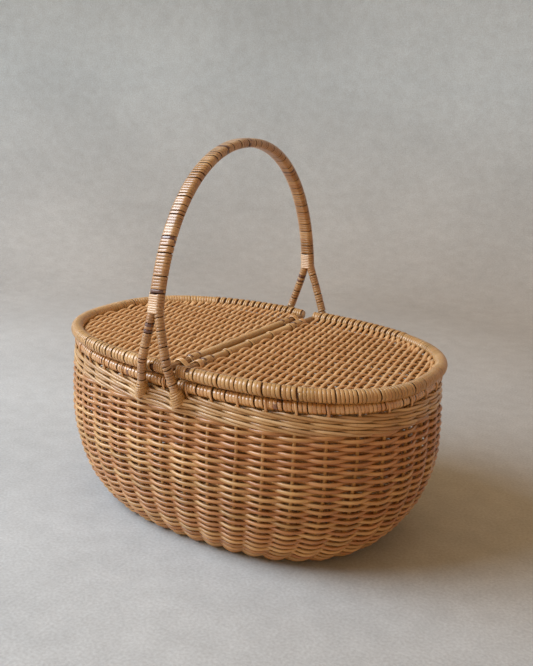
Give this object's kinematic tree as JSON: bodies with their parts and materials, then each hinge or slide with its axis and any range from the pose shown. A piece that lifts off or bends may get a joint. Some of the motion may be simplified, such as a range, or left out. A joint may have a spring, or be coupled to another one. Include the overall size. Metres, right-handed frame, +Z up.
{
  "type": "picnic basket",
  "caption": "Oval woven picnic basket with a rounded bottom, two hinged half lids and a fixed arched handle that forks at each side.",
  "frame": {"origin": "middle of the footprint, on the surface that the basket stands on", "axes": "+Z up, +X along the length towards the right lid, +Y across the width towards the back"},
  "size_m": [0.439, 0.3126, 0.4204],
  "materials": {
    "reed": "satin",
    "pale_reed": "satin",
    "cane": "gloss",
    "red_cane": "gloss",
    "pole": "satin"
  },
  "bodies": {
    "basket": {"base_weave": "reed", "base_sticks": "pole", "side_weave": "reed", "wale_band": "pale_reed", "rim_hoop": "pole", "rim_wrap_left": "red_cane", "rim_wrap_right": "red_cane", "crossbar": "pole", "left_hinge_loop_front": "cane", "left_hinge_loop_back": "cane", "right_hinge_loop_front": "cane", "right_hinge_loop_back": "cane", "handle_rod_left": "pole", "handle_rod_right": "pole", "handle_wrap": "cane", "fork_binding_front": "pale_reed", "fork_binding_back": "pale_reed", "left_leg_wrap_front": "cane", "left_leg_wrap_back": "cane", "right_leg_wrap_front": "cane", "right_leg_wrap_back": "cane", "left_foot_tie_front": "cane", "left_foot_tie_back": "cane", "right_foot_tie_front": "cane", "right_foot_tie_back": "cane"},
    "left_lid": {"left_lid_hoop": "pole", "left_lid_hoop_wrap": "cane", "left_lid_edge_rod": "pole", "left_lid_edge_wrap": "cane", "left_lid_weave": "reed", "left_lid_rib_01": "pole", "left_lid_rib_02": "pole", "left_lid_rib_03": "pole", "left_lid_rib_04": "pole", "left_lid_rib_05": "pole", "left_lid_rib_06": "pole", "left_lid_rib_07": "pole", "left_lid_rib_08": "pole", "left_lid_rib_09": "pole", "left_lid_rib_10": "pole", "left_lid_rib_11": "pole", "left_lid_rib_12": "pole"},
    "right_lid": {"right_lid_hoop": "pole", "right_lid_hoop_wrap": "cane", "right_lid_edge_rod": "pole", "right_lid_edge_wrap": "cane", "right_lid_weave": "reed", "right_lid_rib_01": "pole", "right_lid_rib_02": "pole", "right_lid_rib_03": "pole", "right_lid_rib_04": "pole", "right_lid_rib_05": "pole", "right_lid_rib_06": "pole", "right_lid_rib_07": "pole", "right_lid_rib_08": "pole", "right_lid_rib_09": "pole", "right_lid_rib_10": "pole", "right_lid_rib_11": "pole", "right_lid_rib_12": "pole"}
  },
  "joints": [
    {"name": "right_lid_hinge", "type": "hinge", "parent": "basket", "child": "right_lid", "pos_m": [0.0045, 0, 0.1975], "axis": [0, -1, 0], "range_deg": [0, 85]},
    {"name": "left_lid_hinge", "type": "hinge", "parent": "basket", "child": "left_lid", "pos_m": [-0.0125, 0, 0.1975], "axis": [0, 1, 0], "range_deg": [0, 85]}
  ]
}
